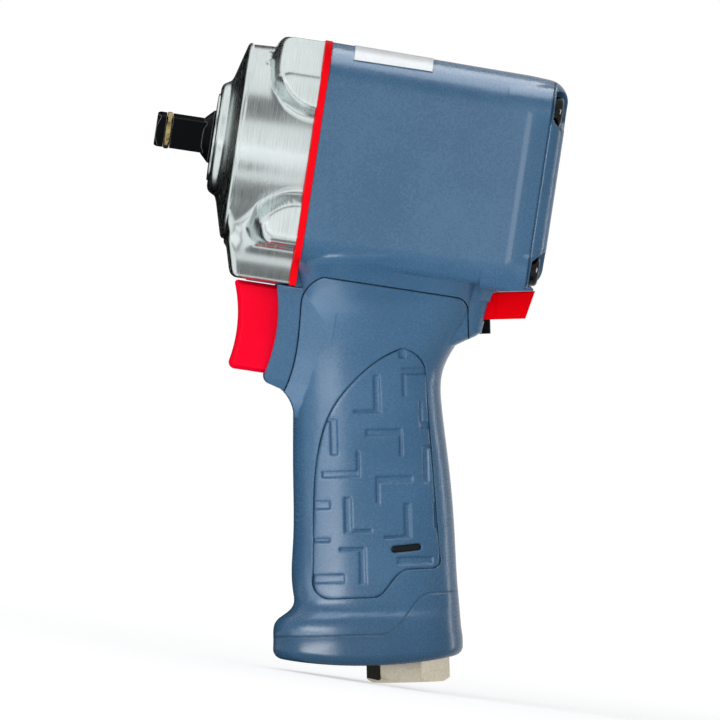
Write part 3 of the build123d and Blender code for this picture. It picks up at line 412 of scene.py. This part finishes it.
# Hammer case: rows follow the profile, columns go round; past the nose each point lies at the outermost
# radius where the field is zero, found on a ladder of radii and set between two rungs by proportion
def makeHammerCase():
    c = hammerCase
    angle = np.linspace(0, 2 * np.pi, c["columns"], endpoint=False)
    nose = np.array(c["nose"])
    steps = runLength(nose)
    walk = np.unique(np.concatenate([np.arange(0, steps[-1], c["noseStep"]), steps]))
    noseX, noseR = np.interp(walk, steps, nose[:, 0]), np.interp(walk, steps, nose[:, 1])
    skinX = np.append(np.arange(c["skinStart"], c["rear"], c["rowStep"]), c["rear"])
    ladder = np.arange(*c["ladder"], c["rung"])
    across, up = ladder[:, None] * np.sin(angle), ladder[:, None] * np.cos(angle)
    skinR = np.empty((len(skinX), len(angle)))
    for row, x in enumerate(skinX):
        field = caseField(x, across, up)
        last = len(ladder) - 1 - np.argmax(field[::-1] < 0, axis=0)
        last = np.minimum(last, len(ladder) - 2)
        a = np.take_along_axis(field, last[None], 0)[0]
        b = np.take_along_axis(field, last[None] + 1, 0)[0]
        skinR[row] = ladder[last] + c["rung"] * np.clip(a / np.minimum(a - b, -1e-6), 0, 1)
    inside = np.array(c["inside"])
    x = np.concatenate([noseX, skinX, inside[:, 0]])[:, None] + np.zeros(len(angle))
    radius = np.concatenate([noseR[:, None] + np.zeros(len(angle)), skinR,
                             inside[:, 1:] + np.zeros(len(angle))])
    points = np.stack([x, radius * np.sin(angle), radius * np.cos(angle)], axis=-1)
    points = np.concatenate([points, points[:1]]) * mm
    piece = gridMesh("hammerCase", points[:, ::-1], wrap=True)
    piece.data.materials.append(materials["castSilver"])
    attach(piece, "wrench_body")
    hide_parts("hammer_case")
    return piece


makeHammerCase()
print("hammer case ready")

handle = {"x": 74.5, "z": -50.0, "rake": math.radians(10)}
gripPad = {
    "rows": [  # place along the handle, front, rear, half width, power of the cross-section
        (-3.0, -23.8, 29.5, 18.6, 3.5), (5.0, -24.3, 24.8, 17.7, 3.0), (13.0, -24.8, 20.4, 17.2, 2.8),
        (24.0, -25.2, 19.7, 17.0, 2.7), (44.0, -25.7, 21.6, 16.7, 2.7), (64.0, -26.2, 22.7, 16.9, 2.7),
        (79.0, -26.6, 23.2, 17.4, 2.7), (83.5, -26.8, 23.5, 17.7, 2.7)],
    "outline": [  # across and along the handle, clockwise from the top
        (7.3, 6.2), (9.6, 6.5), (11.6, 7.8), (13.5, 9.9), (14.8, 12.5), (15.3, 21.0), (16.3, 40.0),
        (17.4, 61.0), (17.9, 69.5), (17.3, 72.2), (15.5, 73.0), (12.5, 73.05), (8.5, 73.1), (6.2, 73.8),
        (4.2, 75.3), (1.2, 79.0), (-0.6, 80.7), (-2.6, 81.4), (-6.0, 81.42), (-11.0, 81.47), (-15.5, 81.5),
        (-19.4, 80.0), (-21.0, 76.0), (-20.8, 67.0), (-20.2, 57.0), (-18.4, 37.0), (-13.9, 24.0),
        (-7.4, 15.9), (0.9, 9.2)],
    "corners": [  # outer corner of each mark, the tips of its two arms, and both arm widths
        (7.6, 12.2, 20.0, 20.7, 2.0, 0.8), (0.7, 25.5, -7.3, 14.2, 0.9, 1.8),
        (12.6, 30.7, 20.0, 22.3, 2.1, 0.8), (-12.4, 27.0, -20.0, 37.9, 0.9, 2.1),
        (7.1, 30.5, -3.7, 38.8, 2.0, 0.8), (-6.0, 44.7, -17.2, 37.0, 1.9, 0.8),
        (13.2, 35.8, 20.0, 47.0, 0.9, 1.8), (-1.1, 44.8, 10.0, 53.0, 1.9, 0.8),
        (-10.8, 61.6, -2.7, 50.8, 0.9, 2.1), (9.1, 63.6, 1.0, 53.1, 0.8, 1.9),
        (-4.8, 66.1, -12.5, 77.2, 0.9, 1.9), (16.3, 61.0, 22.0, 53.0, 2.0, 0.9)],
    "bars": [  # opposite corners of the straight marks
        (6.8, 5.0, 8.6, 9.1), (-24.0, 51.7, -15.1, 54.2), (-24.0, 63.0, -15.4, 64.2),
        (4.9, 69.3, 15.6, 71.5), (-24.0, 74.0, -11.3, 76.6)],
    "markDepth": 0.75, "wall": 0.34, "corner": 0.3,
    "key": (7.6, 66.6), "keyTilt": -4.6, "keyLength": 9.0, "keyWidth": 2.0, "keyDepth": 1.4,
    "keyClearance": 0.2, "keyWall": 0.3,
    "border": 0.9, "borderDrop": 3.0, "bed": 1.75, "outlineSteps": 220,
    "step": 0.22, "across": (-21.6, 18.5), "along": (5.6, 82.1), "backColumns": 24,
}


# Points d across and t down the handle, y to the side, as places in the tool's frame (metres)
def onHandle(d, y, t):
    c, s = math.cos(handle["rake"]), math.sin(handle["rake"])
    return np.stack([handle["x"] + d * c + t * s, y, handle["z"] + d * s - t * c], axis=-1) * mm


# Smooth curve through rows of values: a cubic on each stretch, with the slope of the neighbours at its ends
def smoothRows(at, places, values):
    slopes = np.gradient(values, places, axis=0)
    k = np.clip(np.searchsorted(places, at) - 1, 0, len(places) - 2)
    span = places[k + 1] - places[k]
    f = ((at - places[k]) / span)[..., None]
    span = span[..., None]
    return ((1 + 2 * f) * (1 - f) ** 2 * values[k] + f * (1 - f) ** 2 * span * slopes[k]
            + f * f * (3 - 2 * f) * values[k + 1] + f * f * (f - 1) * span * slopes[k + 1])


# Half width of the handle: a rounded rectangle, half * (1 - |u|^power)^(1/power), u from -1 front to 1 rear
def handleSide(d, t):
    rows = np.array(gripPad["rows"])
    front, rear, half, power = np.moveaxis(smoothRows(t, rows[:, 0], rows[:, 1:]), -1, 0)
    u = np.minimum(np.abs(2 * d - front - rear) / (rear - front), 0.999)
    return half * (1 - u ** power) ** (1 / power)


# Distance to a box with rounded corners, negative inside
def boxField(d, t, first, second, corner):
    a = np.abs(d - (first[0] + second[0]) / 2) - abs(second[0] - first[0]) / 2 + corner
    b = np.abs(t - (first[1] + second[1]) / 2) - abs(second[1] - first[1]) / 2 + corner
    return np.hypot(np.maximum(a, 0), np.maximum(b, 0)) + np.minimum(np.maximum(a, b), 0) - corner


# Distance inwards from a closed outline: to the nearest stretch, with the side found by counting crossings
def outlineField(d, t, outline):
    knots = np.array(outline + outline[:1])
    length = runLength(knots)
    path = smoothRows(np.linspace(0, length[-1], gripPad["outlineSteps"]), length, knots)
    near = np.full(d.shape, np.inf)
    inside = np.zeros(d.shape, bool)
    for (d0, t0), (d1, t1) in zip(path[:-1], path[1:]):
        f = np.clip(((d - d0) * (d1 - d0) + (t - t0) * (t1 - t0)) / ((d1 - d0) ** 2 + (t1 - t0) ** 2), 0, 1)
        near = np.minimum(near, np.hypot(d - d0 - f * (d1 - d0), t - t0 - f * (t1 - t0)))
        if t1 != t0:
            inside ^= ((t0 > t) != (t1 > t)) & (d < d0 + (t - t0) * (d1 - d0) / (t1 - t0))
    return np.where(inside, near, -near)


# How far the pad's skin lies under the handle's: soft-walled marks, the key's slot and the rolled border
def padDepth(d, t):
    g = gripPad
    field = np.full(d.shape, np.inf)
    for corner, along, tip, tail, over, wide in g["corners"]:
        over, wide = math.copysign(over, tail - along), math.copysign(wide, tip - corner)
        field = np.minimum(field, boxField(d, t, (corner, along), (tip, along + over), g["corner"]))
        field = np.minimum(field, boxField(d, t, (corner, along), (corner + wide, tail), g["corner"]))
    for d0, t0, d1, t1 in g["bars"]:
        field = np.minimum(field, boxField(d, t, (d0, t0), (d1, t1), g["corner"]))
    f = np.clip(0.5 - field / (2 * g["wall"]), 0, 1)
    depth = g["markDepth"] * f * f * (3 - 2 * f)
    c, s = math.cos(math.radians(g["keyTilt"])), math.sin(math.radians(g["keyTilt"]))
    a, b = d - g["key"][0], t - g["key"][1]
    beyond = np.maximum(np.abs(a * c + b * s) - (g["keyLength"] - g["keyWidth"]) / 2, 0)
    stadium = np.hypot(beyond, b * c - a * s)
    slot = np.clip((g["keyWidth"] / 2 + g["keyClearance"] - stadium) / g["keyWall"], 0, 1)
    depth = np.maximum(depth, g["keyDepth"] * slot)
    edge = outlineField(d, t, g["outline"])
    r = g["border"]
    roll = r - np.sqrt(np.maximum(r * r - np.square(r - np.clip(edge, 0, r)), 0))
    roll = roll + g["borderDrop"] * np.maximum(-edge, 0)
    return np.minimum(np.maximum(depth, roll), g["bed"])


# Grip pad: rows run down the handle, columns across its skin and back over the bed, closed all round
def makeGripPad(name, node, way):
    g = gripPad
    d = np.arange(*g["across"], g["step"])
    t = np.arange(*g["along"], g["step"])
    d, t = np.meshgrid(d, t)
    skin = handleSide(d, t) - padDepth(d, t)
    backD, backT = np.meshgrid(np.linspace(d[0, -1], d[0, 0], g["backColumns"]), t[:, 0])
    back = handleSide(backD, backT) - g["bed"]
    d, t = np.concatenate([d, backD], 1), np.concatenate([t, backT], 1)
    y = way * np.concatenate([skin, back], 1)
    points = onHandle(d, y, t)
    piece = gridMesh(name, points if way > 0 else points[:, ::-1], wrap=True)
    piece.data.materials.append(materials["slateRubber"])
    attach(piece, "wrench_body")
    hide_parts(node)
    return piece


pads = [makeGripPad("gripPadLeft", "grip_pad_left", -1),
        makeGripPad("gripPadRight", "grip_pad_right", 1)]
print("grip pads ready")

leverGapShade = {
    "top": -10.08, "low": -9.85, "start": 37.2, "end": 48.7, "startHalf": 7.4, "endHalf": 5.9, "rows": 12,
}


# Row numbers of a piece with rows sections, the end rows twice, and a column of 1 that is 0 at both tips
def pointedEnds(rows):
    full = np.ones((rows + 2, 1))
    full[[0, -1]] = 0
    return np.array([0, *range(rows), rows - 1]), full


# Painted shade at the reverse lever: a thin black slab that fills the gap between lever and housing so it
# reads as a dark shadowed line, its four-cornered section carried along the lever and drawn to a point at both
# ends
def makeLeverGapShade():
    g = leverGapShade
    rows, full = pointedEnds(g["rows"])
    along = np.linspace(0, 1, g["rows"])[rows, None]
    half = (g["startHalf"] + (g["endHalf"] - g["startHalf"]) * along) * full
    d = g["start"] + (g["end"] - g["start"]) * along + np.zeros(4)
    y = half * np.array([1, -1, -1, 1])
    t = (g["top"] + g["low"]) / 2 + full * (g["low"] - g["top"]) / 2 * np.array([-1, -1, 1, 1])
    piece = gridMesh("leverGapShade", onHandle(d, y, t), wrap=True)
    piece.data.shade_flat()
    piece.data.materials.append(materials["blackRubber"])
    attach(piece, "lever_body")
    return piece


makeLeverGapShade()
print("lever seal ready")

seamGapShade = {
    "path": [(50.7, -70.0), (51.1, -67.6), (51.7, -62.0), (51.7, -57.0), (51.5, -53.0), (51.0, -46.5),
             (51.2, -43.6), (52.4, -40.4)],
    "middle": 0.15, "half": 0.13,    # middle of the seam past the path, half the dark strip's thickness
    "sides": (9.15, 10.3),           # outside the trigger, inside the skin
    "rows": 60,
}


# Painted shade in the seam between trigger block and sleeve: a thin black strip filling the gap, whose section
# follows the seam's path, drawn to a point at both ends
def makeSeamGapShade(name, way):
    g = seamGapShade
    path = np.array(g["path"])
    length = runLength(path)
    line = smoothRows(np.linspace(0, length[-1], g["rows"]), length, path)
    ahead = np.gradient(line, axis=0)
    ahead /= np.hypot(*ahead.T)[:, None]
    rows, full = pointedEnds(g["rows"])
    line, ahead = line[rows], ahead[rows]
    out = full * g["half"] * np.array([1, 1, -1, -1])
    inner, outer = g["sides"]
    y = way * ((inner + outer) / 2 + full * (outer - inner) / 2 * np.array([1, -1, -1, 1]))
    x = line[:, :1] + g["middle"] + out * ahead[:, 1:]
    z = line[:, 1:] - out * ahead[:, :1]
    points = np.stack([x, y, z], axis=-1) * mm
    piece = gridMesh(name, points if way < 0 else points[:, ::-1], wrap=True)
    piece.data.materials.append(materials["blackRubber"])
    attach(piece, "wrench_body")
    return piece


for shadeName, shadeWay in (("seamGapShadeLeft", -1), ("seamGapShadeRight", 1)):
    makeSeamGapShade(shadeName, shadeWay)
print("seam seals ready")

studio = {
    "floorRadius": 12.0, "floorRings": 12, "floorSides": 64, "floorGap": 0.0002,
    "floorNear": 0.58, "floorFar": 0.74, "floorFade": (0.3, 1.6),
    "ambient": 0.42,
    "softboxes": [  # name, place from the middle of the tool, size, brightness, facing (None is to the tool)
        ("leftBox", (-1.06, -1.06, 0.45), (1.1, 1.0), 3.0, None),
        ("frontBox", (-0.30, -1.60, 0.60), (1.0, 0.9), 0.3, None),
        ("lowFill", (0.30, -1.50, -0.02), (1.6, 0.14), 4.5, None),
        ("underBox", (0.05, -0.17, -0.088), (0.5, 0.2), 1.3, (0.0, 0.0, 1.0)),
        ("backBox", (0.30, 1.30, 0.80), (1.0, 0.9), 0.8, None),
    ],
    "highlights": [  # strips that only show as highlights: the same values, then the pieces that mirror them
        ("keyStrip", (-0.90, -1.20, 0.05), (1.14, 0.30), 30.0, None, "moulded"),
        ("groundStrip", (-0.11, -0.12, -0.090), (0.22, 0.20), 6.0, (0.0, 0.0, 1.0), "grip"),
        ("topStrip", (0.05, -0.10, 1.20), (1.6, 1.2), 13.0, None, "moulded"),
        ("creaseStrip", (0.40, -1.60, 0.05), (0.14, 0.9), 28.0, None, "barrel"),
        ("screwStrip", (1.10, -0.90, 0.05), (0.30, 1.0), 80.0, None, "screws"),
        ("rearStrip", (1.05, 0.30, 0.00), (0.14, 1.4), 10.0, None, "moulded"),
    ],
    "mirrors": {
        "moulded": ["motor_housing", "rear_cover", "base_cap", "grip_sleeve", "trigger", "reverse_lever",
                    "label_plate", "lock_keys"],
        "screws": ["case_screws"],
        "grip": ["grip_sleeve"],
        "barrel": ["motor_housing", "rear_cover"],
    },
    "cards": [  # panels that only reflections see: name, place, facing, size, brightness
        ("greyFront", (0.00, -2.30, 0.55), (0.0, 1.0, -0.1), (3.6, 1.7), 0.96),
        ("darkBack", (-1.15, 1.20, 0.00), (0.0, -1.0, 0.0), (2.4, 1.6), 0.0),
        ("darkHigh", (-0.30, -0.34, 0.35), (0.0, 0.34, -0.30), (0.60, 0.24), 0.22),
        ("darkLow", (-0.335, -0.30, -0.093), (0.0, 0.0, 1.0), (0.60, 0.10), 0.2),
        ("darkGround", (-1.15, 0.62, -0.093), (0.0, 0.0, 1.0), (2.4, 1.15), 0.0),
        ("hexGround", (-0.015, 0.030, -0.0950), (0.0, 0.0, 1.0), (0.07, 0.09), 0.03),
        ("hexShade", (0.00, 0.06, -0.080), (0.5, -0.87, 0.0), (0.08, 0.04), 0.02),
        ("chinShade", (0.00, -0.11, -0.093), (0.0, 0.0, 1.0), (0.14, 0.12), 0.2),
    ],
}

shot = {
    "aim": (71.64, 0.0, -60.16),   # mm, the point in the middle of the picture
    "scale": 0.303,                # mm to a pixel of the 720 pixel frame
    "roll": 8.6,                   # the spindle slopes down to the right
    "turn": 1.5,                   # the camera stands this far round towards the nose
    "pixels": 720,
    "distance": 5.0,
    "sensor": 36.0,
    "clip": (0.05, 50.0),
}


# Floor: a disc, radius growing along the rows and angle along the columns
def makeFloor():
    radius = np.linspace(0.0, studio["floorRadius"], studio["floorRings"])[:, None]
    angle = np.linspace(0, 2 * np.pi, studio["floorSides"], endpoint=False)[None, :]
    level = np.full((studio["floorRings"], studio["floorSides"]), cadBox[0].z - studio["floorGap"])
    points = np.stack([radius * np.cos(angle), radius * np.sin(angle), level], axis=-1)
    floor = gridMesh("floor", points, wrap=True)
    material = bpy.data.materials.new("paleFloor")
    material.use_nodes = True
    tree = material.node_tree
    shader = tree.nodes["Principled BSDF"]
    shader.inputs["Base Color"].default_value = paint(216, 217, 218)
    shader.inputs["Roughness"].default_value = 0.9
    shader.inputs["Specular IOR Level"].default_value = 0.0
    place = put(tree, "ShaderNodeTexCoord").outputs["Object"]
    away = put(tree, "ShaderNodeVectorMath", {0: place}, operation="LENGTH").outputs["Value"]
    near, far = studio["floorFade"]
    level = put(tree, "ShaderNodeMapRange", {"Value": away, "From Min": near, "From Max": far,
                                             "To Min": studio["floorNear"], "To Max": studio["floorFar"]})
    glow = sums(tree, "MULTIPLY", seenRays(tree), level.outputs[0])
    shader.inputs["Emission Color"].default_value = (1, 1, 1, 1)
    tree.links.new(glow, shader.inputs["Emission Strength"])
    floor.data.materials.append(material)


# World: plain white to the camera and to reflections, softer as a light
def makeWorld():
    world = bpy.data.worlds.new("studioWorld")
    bpy.context.scene.world = world
    world.use_nodes = True
    tree = world.node_tree
    level = put(tree, "ShaderNodeMapRange", {"Value": seenRays(tree), "To Min": studio["ambient"],
                                             "To Max": 1.0})
    background = tree.nodes["Background"]
    background.inputs["Color"].default_value = (1, 1, 1, 1)
    tree.links.new(level.outputs[0], background.inputs["Strength"])


# Lamp panel: its power is brightness times area times pi
def makePanel(name, place, size, brightness, facing):
    light = bpy.data.lights.new(name, "AREA")
    light.shape = "RECTANGLE"
    light.size, light.size_y = size
    light.energy = brightness * size[0] * size[1] * math.pi
    lamp = bpy.data.objects.new(name, light)
    bpy.context.scene.collection.objects.link(lamp)
    lamp.visible_camera = False
    lamp.location = Vector(shot["aim"]) * mm + Vector(place)
    facing = Vector(facing) if facing else -Vector(place)
    lamp.rotation_euler = facing.to_track_quat("-Z", "Y").to_euler()
    return lamp


# Softboxes light without being mirrored; highlight strips are mirrored by their own pieces and light nothing
def makeLights():
    groups = {}
    for label, names in studio["mirrors"].items():
        groups[label] = bpy.data.collections.new(label + "Pieces")
        for piece in [nodes[name] for name in names] + (pads if "grip_sleeve" in names else []):
            groups[label].objects.link(piece)
    for values in studio["softboxes"]:
        makePanel(*values).visible_glossy = False
    for *values, label in studio["highlights"]:
        lamp = makePanel(*values)
        lamp.visible_diffuse = False
        lamp.light_linking.receiver_collection = groups[label]


# Reflection panels: flat grids turned to face the tool, of an even brightness, seen in reflections only
def makeCards():
    middle = Vector(shot["aim"]) * mm
    for name, place, facing, size, brightness in studio["cards"]:
        material = bpy.data.materials.new(name)
        material.use_nodes = True
        shader = material.node_tree.nodes["Principled BSDF"]
        shader.inputs["Base Color"].default_value = (0, 0, 0, 1)
        shader.inputs["Roughness"].default_value = 1.0
        shader.inputs["Specular IOR Level"].default_value = 0.0
        shader.inputs["Emission Color"].default_value = (1, 1, 1, 1)
        shader.inputs["Emission Strength"].default_value = brightness
        turn = np.array(Vector(facing).to_track_quat("Z", "Y").to_matrix())
        u, v = np.meshgrid(np.linspace(-0.5, 0.5, 3) * size[0], np.linspace(-0.5, 0.5, 3) * size[1])
        flat = np.stack([u, v, np.zeros_like(u)], axis=-1)
        card = gridMesh(name, flat @ turn.T + np.array(middle + Vector(place)))
        card.data.materials.append(material)
        card.visible_camera = False
        card.visible_diffuse = False
        card.visible_shadow = False
        card.visible_transmission = False


# Camera square to the tool's side, turned a little towards the nose and rolled about its own axis
def makeCamera():
    lens = bpy.data.cameras.new("shotCamera")
    lens.sensor_width = shot["sensor"]
    lens.lens = shot["sensor"] * shot["distance"] / (shot["pixels"] * shot["scale"] * mm)
    camera = bpy.data.objects.new("shotCamera", lens)
    bpy.context.scene.collection.objects.link(camera)
    turn, roll = math.radians(shot["turn"]), math.radians(shot["roll"])
    back = Vector((-math.sin(turn), -math.cos(turn), 0))
    right = Vector((math.cos(turn), -math.sin(turn), 0))
    up = Vector((0, 0, 1))
    tilted = Matrix((right * math.cos(roll) + up * math.sin(roll),
                     up * math.cos(roll) - right * math.sin(roll), back)).transposed()
    stand = Vector(shot["aim"]) * mm + back * shot["distance"]
    camera.matrix_world = Matrix.Translation(stand) @ tilted.to_4x4()
    lens.clip_start, lens.clip_end = shot["clip"]
    bpy.context.scene.camera = camera


makeFloor()
makeWorld()
makeLights()
makeCards()
makeCamera()
bpy.context.scene.view_settings.view_transform = "Standard"
print("studio ready")
